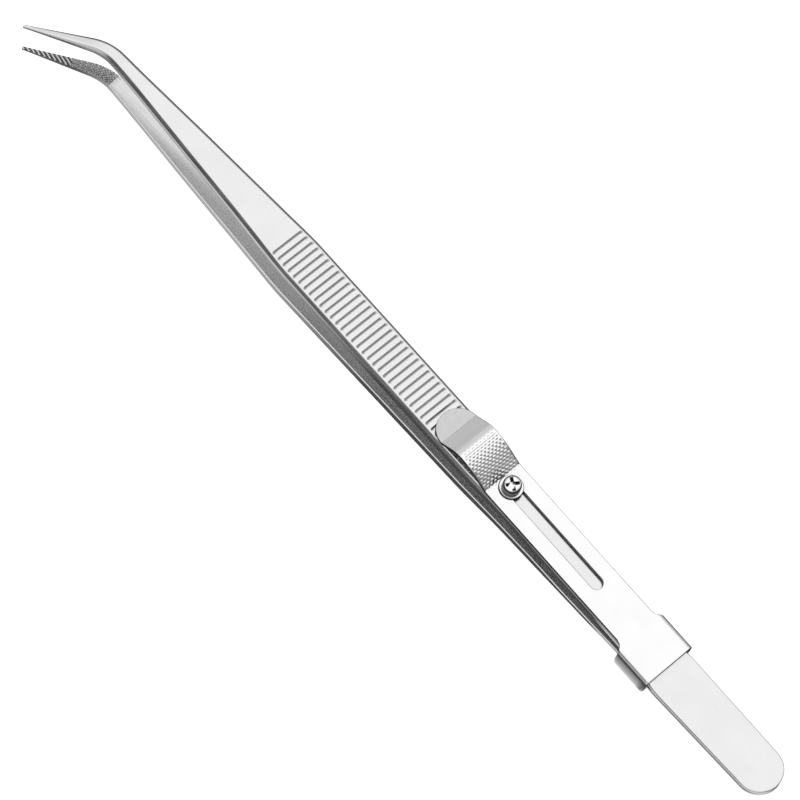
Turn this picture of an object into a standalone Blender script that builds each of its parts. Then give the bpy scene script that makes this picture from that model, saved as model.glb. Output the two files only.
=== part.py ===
"""Slide-locking aquascaping tweezers with a fine nose that bends sideways.

The tweezers lie flat: +X runs from the tips to the tail, +Z is up, and the lower arm is underneath.
A "run" is a distance measured from the tail end towards the tips, along the middle of the arm.
A "height" is measured from the mid plane between the two arms. All lengths are in metres.
"""
import math

import bmesh
import bpy
from mathutils import Matrix, Vector

# Welded tail
TAIL_END_HALF_WIDTH = 0.0039
TAIL_FRONT_HALF_WIDTH = 0.0042
TAIL_THICKNESS = 0.0017
TAIL_LENGTH = 0.0240
TAIL_EDGE = 0.00025

# Arms: they flex about HINGE_RUN, and CLOSE_ANGLE brings the tips together
HINGE_RUN = 0.0240
ARM_START = 0.0243
CLOSE_ANGLE = math.radians(1.44)
CLOSED_GAP = 0.0001           # left between one arm's inner face and the mid plane when closed
HALF_WIDTHS = (
    (0.0243, 0.0038), (0.0330, 0.0036), (0.0600, 0.0036), (0.0680, 0.00387), (0.1120, 0.00387),
    (0.1180, 0.0035), (0.1240, 0.0031), (0.1370, 0.00235), (0.1500, 0.00153), (0.1570, 0.00122),
    (0.1719, 0.0002),
)
ROOT_HEIGHTS = (              # outer face
    (0.0243, 0.00095), (0.0280, 0.0016), (0.0310, 0.0021), (0.0360, 0.00245), (0.0420, 0.00275),
    (0.0510, 0.0032),
)
GRIP_START = 0.0630           # between these runs the outer face is flat and carries the ribs
GRIP_END = 0.1152
GRIP_END_HEIGHT = 0.00519
GRIP_SLOPE = 0.0276
NOSE_HEIGHTS = ((0.1240, 0.0055), (0.1370, 0.0057), (0.1500, 0.00575), (0.1590, 0.0056), (0.1719, 0.0043))
INNER_HEIGHTS = (
    (0.0243, 0.0002), (0.0280, 0.0006), (0.0310, 0.0010), (0.0360, 0.00125), (0.0450, 0.0015),
    (0.0520, 0.00135), (0.0600, 0.00171), (0.0660, 0.00163), (0.0970, 0.00249), (0.1100, 0.00294),
    (0.1350, 0.00377), (0.1500, 0.0039), (0.1600, 0.0039), (0.1697, 0.00376),
)
BEVEL_GRIP = 0.0005
BEVEL_NOSE = 0.0006
BEVEL_SHARE = 0.4             # the most of the half width that a bevel may take
NOSE_RUN = 0.1165

# Sideways bend of the nose
BEND_RUN = 0.1552
BEND_RADIUS = 0.0090
BEND_ANGLE = math.radians(33)
TIP_LENGTH = 0.0115           # straight length after the bend
BEND_STEPS = 6

# Cross ribs of the grip
RIB_START = 0.06662
RIB_PITCH = 0.00126
RIB_COUNT = 39
GROOVE_HALF_WIDTH = 0.00033
GROOVE_DEPTH = 0.0003
GROOVE_MARGIN = 0.00075       # plain edge between a groove's end and the arm's side
CUT_OVERLAP = 0.0001

# Lock slide: one stamped sheet, which travels along a straight line just over the upper arm
TRACK_RUN = 0.0630
TRACK_HEIGHT = 0.00375
TRACK_SLOPE = 0.0450
SHEET = 0.00055
SLIDE_GAP = 0.0002            # between the track line and the sheet
STRIP_HALF_WIDTH = 0.00368
SLOT_HALF_WIDTH = 0.00107
SLOT_REAR = 0.0417            # runs of the slot's end centres
SCREW_RUN = 0.0616
COLLAR_REAR = 0.0246
COLLAR_FRONT = 0.0313
COLLAR_HALF_WIDTH = 0.0049
COLLAR_INNER_HEIGHT = 0.0054
COLLAR_TOP_BEND = 0.0009      # bend radii of the collar, at the middle of the sheet
COLLAR_LOW_BEND = 0.0017
COLLAR_FILLET = 0.0016
TAB_ROUND_START = 0.0032      # distance down the tab at which its front and rear corners start to round off
TAB_ROUND = 0.0014
TAB_ROUND_LENGTH = 0.0030
TAB_END = 0.0013              # half of the opening left in the collar under the lower arm
HUMP_REAR = 0.0637
LIP_CREASE = 0.0738
LIP_LENGTH = 0.0036
HUMP_RISE = 0.00245
HUMP_SKEW = 0.8               # below 1 the hump is steeper towards the tips
LIP_TILT = 0.10               # the lip leans down towards the arm

# Screw and washer
SHANK_RADIUS = 0.0008
SHANK_HOLE_RADIUS = 0.00105
HEAD_RADIUS = 0.00152
HEAD_HEIGHT = 0.0013
CROSS_LENGTH = 0.0017
CROSS_WIDTH = 0.0004
CROSS_DEPTH = 0.0007
CROSS_TURN = math.radians(20)
WASHER_RADIUS = 0.00203
WASHER_THICKNESS = 0.0003
STACK_GAP = 0.0001            # between sheet, washer and head

STEEL = (0.80, 0.80, 0.81, 1.0)
BRIGHT_STEEL = (0.90, 0.90, 0.91, 1.0)


def clear_scene():
    for obj in list(bpy.data.objects):
        bpy.data.objects.remove(obj, do_unlink=True)


def steel(name, colour, roughness):
    material = bpy.data.materials.new(name)
    material.use_nodes = True
    shader = material.node_tree.nodes["Principled BSDF"]
    shader.inputs["Base Color"].default_value = colour
    shader.inputs["Metallic"].default_value = 1.0
    shader.inputs["Roughness"].default_value = roughness
    return material


def between(table, run):
    """Value at a run, on straight lines between a table's points."""
    if run <= table[0][0]:
        return table[0][1]
    for (run_a, value_a), (run_b, value_b) in zip(table, table[1:]):
        if run <= run_b:
            return value_a + (value_b - value_a) * (run - run_a) / (run_b - run_a)
    return table[-1][1]


def grip_height(run):
    """Height of the flat outer face that carries the ribs."""
    return GRIP_END_HEIGHT + (run - GRIP_END) * GRIP_SLOPE


def track_height(run):
    """Height of the straight line along which the slide travels."""
    return TRACK_HEIGHT + (run - TRACK_RUN) * TRACK_SLOPE


def outer_height(run):
    grip = ((GRIP_START, grip_height(GRIP_START)), (GRIP_END, grip_height(GRIP_END)))
    return between(ROOT_HEIGHTS + grip + NOSE_HEIGHTS, run)


def inner_height(straight_run):
    """Inner face: near the tips it falls flat against the other arm's when the tweezers close."""
    closing = CLOSED_GAP + math.tan(CLOSE_ANGLE) * (straight_run - HINGE_RUN)
    return max(closing, between(INNER_HEIGHTS, straight_run))


def bevel(run):
    width = BEVEL_GRIP if run < NOSE_RUN else BEVEL_NOSE
    return min(width, BEVEL_SHARE * between(HALF_WIDTHS, run))


def centreline(run):
    """Plan position (straight run, sideways) and heading of the arm's middle."""
    if run <= BEND_RUN:
        return run, 0.0, 0.0
    angle = min((run - BEND_RUN) / BEND_RADIUS, BEND_ANGLE)
    beyond = max(0.0, run - BEND_RUN - BEND_RADIUS * BEND_ANGLE)
    along = BEND_RUN + BEND_RADIUS * math.sin(angle) + beyond * math.cos(angle)
    sideways = -BEND_RADIUS * (1.0 - math.cos(angle)) - beyond * math.sin(angle)
    return along, sideways, angle


def arm_runs():
    """Runs at which the arm's section is given."""
    bend_end = BEND_RUN + BEND_RADIUS * BEND_ANGLE
    runs = {GRIP_START, GRIP_END, NOSE_RUN, BEND_RUN}
    runs.update(run for run, _ in HALF_WIDTHS + ROOT_HEIGHTS + NOSE_HEIGHTS + INNER_HEIGHTS if run < BEND_RUN)
    runs.update(BEND_RUN + (bend_end - BEND_RUN) * step / BEND_STEPS for step in range(1, BEND_STEPS + 1))
    runs.update(bend_end + TIP_LENGTH * share for share in (0.33, 0.67, 1.0))
    return sorted(runs)


def arm_section(run, side):
    """Ring of points round the arm, for the upper arm (side 1) or the lower one (side -1)."""
    half = between(HALF_WIDTHS, run)
    outer = outer_height(run)
    cut = bevel(run)
    along, sideways, angle = centreline(run)
    ring = []
    for lateral, height in ((-half, None), (half, None), (half, outer - cut), (half - cut, outer),
                            (cut - half, outer), (-half, outer - cut)):
        straight_run = along + lateral * math.sin(angle)
        level = inner_height(straight_run) if height is None else height
        ring.append(Vector((-straight_run, sideways + lateral * math.cos(angle), side * level)))
    return ring


def add_loft(mesh, rings):
    """Closed skin through equal rings of points."""
    rows = [[mesh.verts.new(point) for point in ring] for ring in rings]
    count = len(rows[0])
    for row_a, row_b in zip(rows, rows[1:]):
        for i in range(count):
            j = (i + 1) % count
            mesh.faces.new((row_a[i], row_a[j], row_b[j], row_b[i]))
    mesh.faces.new(rows[0])
    mesh.faces.new(rows[-1])


def finish_object(mesh, name, material=None):
    bmesh.ops.recalc_face_normals(mesh, faces=mesh.faces)
    data = bpy.data.meshes.new(name)
    mesh.to_mesh(data)
    mesh.free()
    obj = bpy.data.objects.new(name, data)
    bpy.context.scene.collection.objects.link(obj)
    if material is not None:
        data.materials.append(material)
        data.shade_smooth()
        data.set_sharp_from_angle(angle=math.radians(25))
    return obj


def cut_with(target, mesh, name):
    """Cut a shape out of an object and keep the cutter as a hidden guide."""
    cutter = finish_object(mesh, name)
    cutter.hide_render = True
    cutter.display_type = "WIRE"
    boolean = target.modifiers.new(name, "BOOLEAN")
    boolean.operation = "DIFFERENCE"
    boolean.solver = "EXACT"
    boolean.object = cutter
    return cutter


def above_line(run, height, slope, sideways, above):
    """Point above a sloping line of the upper arm, square to that line."""
    length = math.hypot(1.0, slope)
    return Vector((-run + above * slope / length, sideways, height + above / length))


def grip_point(run, sideways, above):
    return above_line(run, grip_height(run), GRIP_SLOPE, sideways, above)


def track_point(run, sideways, above):
    return above_line(run, track_height(run), TRACK_SLOPE, sideways, above)


def track_frame(run, above):
    """Frame over the slide's track: X towards the tail, Z out of the upper arm."""
    tilt = Matrix.Rotation(math.atan(TRACK_SLOPE), 4, "Y")
    return Matrix.Translation(track_point(run, 0.0, above)) @ tilt


def turned(mesh, profile, frame, steps=32):
    """Solid of revolution about a frame's Z axis, from (radius, height) points on the axis at both ends."""
    rows = []
    for radius, height in profile[1:-1]:
        angles = (2.0 * math.pi * step / steps for step in range(steps))
        rows.append([mesh.verts.new(frame @ Vector((radius * math.cos(a), radius * math.sin(a), height)))
                     for a in angles])
    low = mesh.verts.new(frame @ Vector((0.0, 0.0, profile[0][1])))
    high = mesh.verts.new(frame @ Vector((0.0, 0.0, profile[-1][1])))
    for i in range(steps):
        j = (i + 1) % steps
        mesh.faces.new((low, rows[0][j], rows[0][i]))
        mesh.faces.new((high, rows[-1][i], rows[-1][j]))
        for row_a, row_b in zip(rows, rows[1:]):
            mesh.faces.new((row_a[i], row_a[j], row_b[j], row_b[i]))


def groove_cutter(side):
    """Comb of V-shaped bars that cut the grip's grooves."""
    mesh = bmesh.new()
    widen = (GROOVE_DEPTH + CUT_OVERLAP) / GROOVE_DEPTH
    for rib in range(RIB_COUNT):
        run = RIB_START + rib * RIB_PITCH
        reach = between(HALF_WIDTHS, run) - GROOVE_MARGIN
        corners = (grip_point(run - GROOVE_HALF_WIDTH * widen, 0.0, CUT_OVERLAP),
                   grip_point(run + GROOVE_HALF_WIDTH * widen, 0.0, CUT_OVERLAP),
                   grip_point(run, 0.0, -GROOVE_DEPTH))
        rings = [[Vector((c.x, sideways, side * c.z)) for c in corners] for sideways in (-reach, reach)]
        add_loft(mesh, rings)
    return mesh


def make_arm(name, side, material):
    mesh = bmesh.new()
    add_loft(mesh, [arm_section(run, side) for run in arm_runs()])
    arm = finish_object(mesh, name, material)
    grooves = cut_with(arm, groove_cutter(side), name + "_groove_cutter")
    return arm, grooves


def cut_screw_hole(arm):
    mesh = bmesh.new()
    through = 0.003
    profile = ((0.0, -through), (SHANK_HOLE_RADIUS, -through), (SHANK_HOLE_RADIUS, CUT_OVERLAP),
               (0.0, CUT_OVERLAP))
    turned(mesh, profile, track_frame(SCREW_RUN, 0.0), steps=24)
    return cut_with(arm, mesh, "screw_hole_cutter")


def make_tail(material):
    """Both arms' rear ends, welded flat together, with a round end."""
    thick = TAIL_THICKNESS / 2.0
    end_steps = 9
    stations = []
    for step in range(1, end_steps + 1):
        angle = math.pi / 2.0 * step / end_steps
        run = TAIL_END_HALF_WIDTH * (1.0 - math.cos(angle))
        stations.append((run, TAIL_END_HALF_WIDTH * math.sin(angle)))
    stations.append((TAIL_LENGTH, TAIL_FRONT_HALF_WIDTH))
    mesh = bmesh.new()
    rings = []
    for run, width in stations:
        flat = width - TAIL_EDGE
        side = thick - TAIL_EDGE
        rings.append([Vector((-run, y, z)) for y, z in (
            (-width, -side), (-flat, -thick), (flat, -thick), (width, -side),
            (width, side), (flat, thick), (-flat, thick), (-width, side))])
    add_loft(mesh, rings)
    return finish_object(mesh, "tail", material)


def hump_rise(run):
    """Rise of the sheet over its straight track: the thumb hump, then the falling lip."""
    if run >= LIP_CREASE:
        return (LIP_CREASE - run) * LIP_TILT
    if run <= HUMP_REAR:
        return 0.0
    share = (LIP_CREASE - run) / (LIP_CREASE - HUMP_REAR)
    return HUMP_RISE * math.sin(math.pi * share ** HUMP_SKEW)


def tab_section():
    """Middle of the sheet round one collar tab: (distance from the strip's edge, sideways, above the track)."""
    top = SLIDE_GAP + SHEET / 2.0
    bottom = top - COLLAR_INNER_HEIGHT - SHEET
    side = COLLAR_HALF_WIDTH - SHEET / 2.0
    bend_steps = 4
    points = []
    for start, radius, centre in ((math.pi / 2.0, COLLAR_TOP_BEND, top - COLLAR_TOP_BEND),
                                  (0.0, COLLAR_LOW_BEND, bottom + COLLAR_LOW_BEND)):
        for step in range(1 if start else 0, bend_steps + 1):
            angle = start - math.pi / 2.0 * step / bend_steps
            points.append((side - radius + radius * math.cos(angle), centre + radius * math.sin(angle)))
    points.append((TAB_END, bottom))
    section = []
    distance = 0.0
    last = (STRIP_HALF_WIDTH, top)
    for point in points:
        distance += math.dist(last, point)
        section.append((distance, *point))
        last = point
    return section


def tab_corner(distance):
    """How far a tab's front and rear edges have drawn in towards its middle."""
    share = min(1.0, max(0.0, (distance - TAB_ROUND_START) / TAB_ROUND_LENGTH))
    return TAB_ROUND * (1.0 - math.sqrt(1.0 - share * share))


def tab_front(distance):
    """Front edge of a collar tab, with a fillet into the strip's edge and a rounded corner below."""
    if distance >= COLLAR_FILLET:
        return COLLAR_FRONT - tab_corner(distance)
    return COLLAR_FRONT + COLLAR_FILLET - math.sqrt(COLLAR_FILLET ** 2 - (COLLAR_FILLET - distance) ** 2)


def make_slide(material):
    """Lock slide, from the middle of its sheet: collar, slotted strip, thumb hump and half-moon lip."""
    collar_steps = 4
    hump_steps = 14
    lip_steps = 7
    lip_end_angle = math.radians(83)
    top = SLIDE_GAP + SHEET / 2.0
    strip_start = COLLAR_FRONT + COLLAR_FILLET
    rows = [(COLLAR_REAR + (strip_start - COLLAR_REAR) * step / collar_steps, STRIP_HALF_WIDTH)
            for step in range(collar_steps + 1)]
    rows += [(HUMP_REAR + (LIP_CREASE - HUMP_REAR) * step / hump_steps, STRIP_HALF_WIDTH)
             for step in range(hump_steps + 1)]
    for step in range(1, lip_steps + 1):
        angle = lip_end_angle * step / lip_steps
        rows.append((LIP_CREASE + LIP_LENGTH * math.sin(angle), STRIP_HALF_WIDTH * math.cos(angle)))
    mesh = bmesh.new()
    columns = (-1.0, -0.5, 0.5, 1.0)
    grid = [[mesh.verts.new(track_point(run, share * half, top + hump_rise(run))) for share in columns]
            for run, half in rows]
    for row_a, row_b in zip(grid, grid[1:]):
        for i in range(len(columns) - 1):
            mesh.faces.new((row_a[i], row_a[i + 1], row_b[i + 1], row_b[i]))
    for side, edge in ((-1, 0), (1, -1)):
        last = [grid[step][edge] for step in range(collar_steps + 1)]
        for distance, sideways, above in tab_section():
            front = tab_front(distance)
            rear = COLLAR_REAR + tab_corner(distance)
            pitch = (front - rear) / collar_steps
            runs = [rear + pitch * step for step in range(collar_steps + 1)]
            line = [mesh.verts.new(track_point(run, side * sideways, above)) for run in runs]
            for step in range(collar_steps):
                mesh.faces.new((last[step], last[step + 1], line[step + 1], line[step]))
            last = line
    slide = finish_object(mesh, "lock_slide", material)
    solidify = slide.modifiers.new("sheet", "SOLIDIFY")
    solidify.thickness = SHEET
    solidify.offset = 0.0
    solidify.use_even_offset = True
    cutter = cut_with(slide, slot_shape(), "slot_cutter")
    return slide, cutter


def slot_shape():
    """Long slot with round ends, as a tall prism."""
    steps = 12
    outline = []
    for centre, start in ((SLOT_REAR, -math.pi / 2.0), (SCREW_RUN, math.pi / 2.0)):
        for step in range(steps + 1):
            angle = start + math.pi * step / steps
            outline.append((centre - SLOT_HALF_WIDTH * math.cos(angle), SLOT_HALF_WIDTH * math.sin(angle)))
    mesh = bmesh.new()
    rings = [[track_point(run, sideways, above) for run, sideways in outline]
             for above in (-SHEET, SLIDE_GAP + 2.0 * SHEET)]
    add_loft(mesh, rings)
    return mesh


def make_screw(material):
    seat = SLIDE_GAP + SHEET + WASHER_THICKNESS + 2.0 * STACK_GAP
    arm_depth = outer_height(SCREW_RUN) - inner_height(SCREW_RUN) - STACK_GAP
    crown = 5
    flat_share = 0.45
    wall_share = 0.35
    profile = [(0.0, -seat - arm_depth), (SHANK_RADIUS, -seat - arm_depth), (SHANK_RADIUS, 0.0)]
    profile.append((HEAD_RADIUS, 0.0))
    for step in range(crown):
        angle = math.pi / 2.0 * step / crown
        profile.append((HEAD_RADIUS * (flat_share + (1.0 - flat_share) * math.cos(angle)),
                        HEAD_HEIGHT * (wall_share + (1.0 - wall_share) * math.sin(angle))))
    profile += [(HEAD_RADIUS * flat_share, HEAD_HEIGHT), (0.0, HEAD_HEIGHT)]
    mesh = bmesh.new()
    frame = track_frame(SCREW_RUN, seat)
    turned(mesh, profile, frame)
    screw = finish_object(mesh, "slide_screw", material)
    half = CROSS_LENGTH / 2.0
    slim = CROSS_WIDTH / 2.0
    outline = ((half, -slim), (half, slim), (slim, slim), (slim, half), (-slim, half), (-slim, slim),
               (-half, slim), (-half, -slim), (-slim, -slim), (-slim, -half), (slim, -half), (slim, -slim))
    mesh = bmesh.new()
    turn = Matrix.Rotation(CROSS_TURN, 4, "Z")
    add_loft(mesh, [[frame @ turn @ Vector((x, y, z)) for x, y in outline]
                    for z in (HEAD_HEIGHT - CROSS_DEPTH, HEAD_HEIGHT + CUT_OVERLAP)])
    return screw, cut_with(screw, mesh, "cross_cutter")


def make_washer(material):
    frame = track_frame(SCREW_RUN, SLIDE_GAP + SHEET + STACK_GAP)
    mesh = bmesh.new()
    steps = 32
    edge = WASHER_THICKNESS / 4.0
    section = ((SHANK_HOLE_RADIUS, 0.0), (WASHER_RADIUS, 0.0), (WASHER_RADIUS, WASHER_THICKNESS - edge),
               (WASHER_RADIUS - edge, WASHER_THICKNESS), (SHANK_HOLE_RADIUS, WASHER_THICKNESS))
    rows = []
    for step in range(steps):
        angle = 2.0 * math.pi * step / steps
        rows.append([mesh.verts.new(frame @ Vector((r * math.cos(angle), r * math.sin(angle), z)))
                     for r, z in section])
    for row_a, row_b in zip(rows, rows[1:] + rows[:1]):
        for i in range(len(section)):
            j = (i + 1) % len(section)
            mesh.faces.new((row_a[i], row_a[j], row_b[j], row_b[i]))
    return finish_object(mesh, "screw_washer", material)


def place_origin(obj, point):
    """Move an object's origin to a point without moving its mesh."""
    obj.data.transform(Matrix.Translation(-point))
    obj.location = point


def attach(child, parent):
    bpy.context.view_layer.update()
    child.parent = parent
    child.matrix_parent_inverse = parent.matrix_world.inverted()


def stand_on_origin(root, parts):
    """Move the whole assembly so that its box stands on the origin."""
    bpy.context.view_layer.update()
    graph = bpy.context.evaluated_depsgraph_get()
    corners = []
    for part in parts:
        shape = part.evaluated_get(graph)
        corners += [shape.matrix_world @ vertex.co for vertex in shape.data.vertices]
    low = Vector(min(corner[axis] for corner in corners) for axis in range(3))
    high = Vector(max(corner[axis] for corner in corners) for axis in range(3))
    root.location -= Vector(((low.x + high.x) / 2.0, (low.y + high.y) / 2.0, low.z))


def main():
    clear_scene()
    satin = steel("satin_steel", STEEL, 0.32)
    bright = steel("bright_steel", BRIGHT_STEEL, 0.18)
    tail = make_tail(satin)
    upper_arm, upper_grooves = make_arm("upper_arm", 1, satin)
    lower_arm, lower_grooves = make_arm("lower_arm", -1, satin)
    hole = cut_screw_hole(upper_arm)
    slide, slot = make_slide(bright)
    screw, cross = make_screw(bright)
    washer = make_washer(bright)

    hinge = Vector((-HINGE_RUN, 0.0, 0.0))
    for arm in (upper_arm, lower_arm):
        place_origin(arm, hinge)
        attach(arm, tail)
    for part in (slide, screw, washer):
        place_origin(part, track_point(SCREW_RUN, 0.0, 0.0))
        attach(part, upper_arm)
    for cutter, part in ((upper_grooves, upper_arm), (hole, upper_arm), (lower_grooves, lower_arm),
                         (slot, slide), (cross, screw)):
        attach(cutter, part)
    stand_on_origin(tail, (tail, upper_arm, lower_arm, slide, screw, washer))


main()
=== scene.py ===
"""Looks of the slide-lock aquascaping tweezers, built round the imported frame.

A "run" is a distance from the tail end towards the tips along the middle of an arm, a "height" is
measured from the mid plane between the arms, and all lengths are in metres.
"""
import math

import bmesh
import bpy
from mathutils import Matrix, Vector


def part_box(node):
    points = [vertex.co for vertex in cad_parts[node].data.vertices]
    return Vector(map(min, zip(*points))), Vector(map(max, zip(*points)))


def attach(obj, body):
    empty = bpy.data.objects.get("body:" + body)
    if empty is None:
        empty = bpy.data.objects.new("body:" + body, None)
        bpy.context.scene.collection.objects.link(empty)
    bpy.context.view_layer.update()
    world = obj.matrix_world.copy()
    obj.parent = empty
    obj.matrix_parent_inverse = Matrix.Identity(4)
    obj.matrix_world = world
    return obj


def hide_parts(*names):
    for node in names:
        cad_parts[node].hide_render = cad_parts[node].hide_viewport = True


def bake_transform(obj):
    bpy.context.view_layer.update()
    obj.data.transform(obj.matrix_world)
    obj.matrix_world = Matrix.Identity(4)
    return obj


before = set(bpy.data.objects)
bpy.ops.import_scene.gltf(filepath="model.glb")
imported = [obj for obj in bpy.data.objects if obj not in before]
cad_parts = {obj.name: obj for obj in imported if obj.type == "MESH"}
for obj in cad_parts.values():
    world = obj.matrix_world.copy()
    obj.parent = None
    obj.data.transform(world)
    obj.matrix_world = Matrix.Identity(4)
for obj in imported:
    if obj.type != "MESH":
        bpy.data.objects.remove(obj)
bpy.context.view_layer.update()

# Place of the object in the frame
TAIL_LOW, TAIL_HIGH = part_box("tail")
TAIL_X = TAIL_HIGH.x
MID_Y = (TAIL_LOW.y + TAIL_HIGH.y) / 2.0
MID_Z = (TAIL_LOW.z + TAIL_HIGH.z) / 2.0

# Arms
TAIL_HALF_THICKNESS = 0.00085
TAIL_RADIUS = 0.0039
TAIL_RUN = 0.0240
CLOSE_TANGENT = math.tan(math.radians(1.44))
CLOSED_GAP = 0.0001
HALF_WIDTHS = (
    (0.0039, 0.0039), (0.0240, 0.0042), (0.0275, 0.0037), (0.0330, 0.0036), (0.0600, 0.0036),
    (0.0680, 0.00387), (0.1120, 0.00387), (0.1180, 0.0035), (0.1240, 0.0031), (0.1370, 0.00235),
    (0.1500, 0.00153), (0.1570, 0.00122), (0.1719, 0.0002),
)
GRIP_START = 0.0630
GRIP_END = 0.1152
GRIP_END_HEIGHT = 0.00519
GRIP_SLOPE = 0.0276
OUTER_HEIGHTS = (
    (0.0225, TAIL_HALF_THICKNESS), (0.0243, 0.00095), (0.0280, 0.0016), (0.0310, 0.0021), (0.0360, 0.00245),
    (0.0420, 0.00275), (0.0510, 0.0032),
    (GRIP_START, GRIP_END_HEIGHT - (GRIP_END - GRIP_START) * GRIP_SLOPE), (GRIP_END, GRIP_END_HEIGHT),
    (0.1240, 0.0055), (0.1370, 0.0057), (0.1500, 0.00575), (0.1590, 0.0056), (0.1719, 0.0043),
)
SEAM = 0.00001                # half of the seam between the welded arm ends
INNER_HEIGHTS = (
    (0.0235, SEAM), (0.0280, 0.0006), (0.0310, 0.0010), (0.0360, 0.00125), (0.0450, 0.0015),
    (0.0520, 0.00135), (0.0600, 0.00171), (0.0660, 0.00163), (0.0970, 0.00249), (0.1100, 0.00294),
    (0.1350, 0.00377), (0.1500, 0.0039), (0.1600, 0.0039), (0.1697, 0.00376),
)
SMOOTH_REACH = 0.0015         # corners of the tables are rounded over this run on both sides
INNER_SMOOTH_REACH = 0.0008
BEVELS = ((0.0240, 0.00012), (0.0300, 0.00040), (0.0600, 0.00048), (0.1130, 0.00052), (0.1180, 0.00058))
BEVEL_SHARE = 0.42            # the most of the half width that a bevel may take
BEVEL_ROUND = 0.00010         # rounding along the bevel's inner edge
BEVEL_ROUND_SHARE = 0.3
INNER_EDGE = 0.00012          # broken edge between the walls and the inner face
INNER_EDGE_SHARE = 0.3
INNER_COLUMNS = 30
WALL_COLUMNS = 3
COLUMN_STEP = 0.0002          # the most between the outer face's first columns inside the bevel
SECTION_STEP = 0.0009         # between cross sections on plain parts, and between those of the toothed tip
TIP_STEP = 0.00009
RIB_LEAD = 0.0012

# Sideways bend of the nose
BEND_RUN = 0.1552
BEND_RADIUS = 0.0090
BEND_ANGLE = math.radians(33)
TIP_RUN = 0.17183

# Ribs of the grip and teeth of the tips
RIB_START = 0.06662
RIB_PITCH = 0.00126
RIB_COUNT = 39
GROOVE_HALF_WIDTH = 0.00024
GROOVE_DEPTH = 0.00017
LAND_CROWN = 0.00003          # how far each rib's top rounds down towards its grooves
GROOVE_FULL_MARGIN = 0.00095  # the grooves run out towards the arm's sides between these distances
GROOVE_END_MARGIN = 0.00055
TEETH_START = 0.1559
DIAMOND_END = 0.1635          # behind this run the diagonal teeth are crossed by a second set
TEETH_PITCH = 0.00085
DIAMOND_PITCH = 0.0006
TEETH_DEPTH = 0.00026
TEETH_OPENING = 0.78          # share of the pitch that a tooth valley is wide
TEETH_RUN_IN = 0.0002
DIAMOND_SHARE = 0.7           # depth of the crossed teeth against the plain ones
DARK_CUT = 0.42               # teeth valleys deeper than this share get painted shade, plain and crossed
DARK_DIAMOND_CUT = 0.5
GROOVE_SHADE_SHARE = 0.3           # the grooves' milled finish, darker as painted shade, starts at this share of the groove's depth

# Lock slide
TRACK_RUN = 0.0630
TRACK_HEIGHT = 0.00375
TRACK_SLOPE = 0.0450
SHEET = 0.00055
SLIDE_GAP = 0.0002
SHEET_EDGE = 0.00010
STRIP_HALF_WIDTH = 0.00368
SLOT_HALF_WIDTH = 0.00107
SLOT_REAR = 0.0417
SCREW_RUN = 0.0616
COLLAR_REAR = 0.0246
COLLAR_FRONT = 0.0313
COLLAR_HALF_WIDTH = 0.0049
COLLAR_INNER_HEIGHT = 0.0054
COLLAR_TOP_BEND = 0.0009
COLLAR_LOW_BEND = 0.0017
COLLAR_FILLET = 0.0016
TAB_ROUND_START = 0.0032
TAB_ROUND = 0.0014
TAB_ROUND_LENGTH = 0.0030
TAB_END = 0.0013
HUMP_REAR = 0.0637
LIP_CREASE = 0.0738
LIP_LENGTH = 0.0036
HUMP_RISE = 0.00245
HUMP_SKEW = 0.8
HUMP_EASE = 0.0010            # rounding of the hump's shoulder
HUMP_FOOT_EASE = 0.0003       # rounding of its rear foot, which the washer stands beside
HUMP_FRONT_SLOPE = 0.80       # the steepest that the hump's front flank may be
LIP_TILT = 0.11                # the half-moon lip leans down towards the arm
LIP_ARC = math.radians(84)
LIP_STEPS = 26
SLOT_STEPS = 12
STRIP_COLUMNS = 30
STRIP_ROWS = 12               # rows of the mesh behind the slot, along it and just in front of it
SLOT_ROWS = 24
SCREW_ROWS = 4
KNURL_ROWS = 84
FLANK_ROWS = 30
FILLET_ROWS = 14
TAB_STEPS = 6
BEND_STEPS = 10
KNURL_START = HUMP_REAR - 0.0006
KNURL_END = 0.0703
KNURL_FADE = 0.0008
KNURL_MARGIN = 0.0002         # plain border along the sheet's sides
KNURL_EDGE_FADE = 0.0003
KNURL_PITCH = 0.00080
KNURL_DEPTH = 0.000035

# Screw and washer
STACK_GAP = 0.0001            # between the slide, the washer and the screw's head
STACK = SLIDE_GAP + SHEET + STACK_GAP
SHANK_RADIUS = 0.0008
THREAD_PITCH = 0.0004
THREAD_DEPTH = 0.0001
THREAD_ROWS = 10              # rows of the mesh in each turn
HOLE_RADIUS = 0.00105
HEAD_RADIUS = 0.00152
HEAD_HEIGHT = 0.0013
HEAD_FLAT = 0.62              # share of the head's radius and height that its rounding leaves
HEAD_CAP = 0.30
HEAD_RIM = ((1.0, 0.00016), (0.985, 0.00005), (0.95, 0.0))    # (share of the radius, height)
HEAD_SHADE_LINE = 0.92            # below this share of its height the head gets painted shade; above it the head stays bright
SCREW_STEPS = 96
CROSS_LENGTH = 0.00245
CROSS_WIDTH = 0.00058
CROSS_DEPTH = 0.0008
CROSS_TURN = math.radians(61)
CROSS_FLOOR = 0.44            # size of the recess's floor against its mouth
CROSS_CORNER = 1.5            # chamfer between the cross's arms, in half widths
CUT_EXCESS = 0.0001
WASHER_RADIUS = 0.00203
WASHER_THICKNESS = 0.0003
WASHER_SLOPE = 0.00012
WASHER_EDGE = 0.00004
WASHER_SHADE_LINE = 0.8           # below this share of its thickness the washer gets painted shade; its top stays bright
WASHER_STEPS = 72

# Grain of the steels: depths, and noise scales along X, Y and Z
GRAIN = 0.000004
FINE_GRAIN = 0.000003
COARSE_GRAIN = 0.000006
LENGTHWISE_GRAIN = (160.0, 2600.0, 2600.0)
DENSE_GRAIN = (220.0, 3000.0, 3000.0)
CROSS_GRAIN = (900.0, 4000.0, 900.0)
UPRIGHT_GRAIN = (900.0, 900.0, 4000.0)
EVEN_GRAIN = (900.0, 900.0, 900.0)

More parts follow.
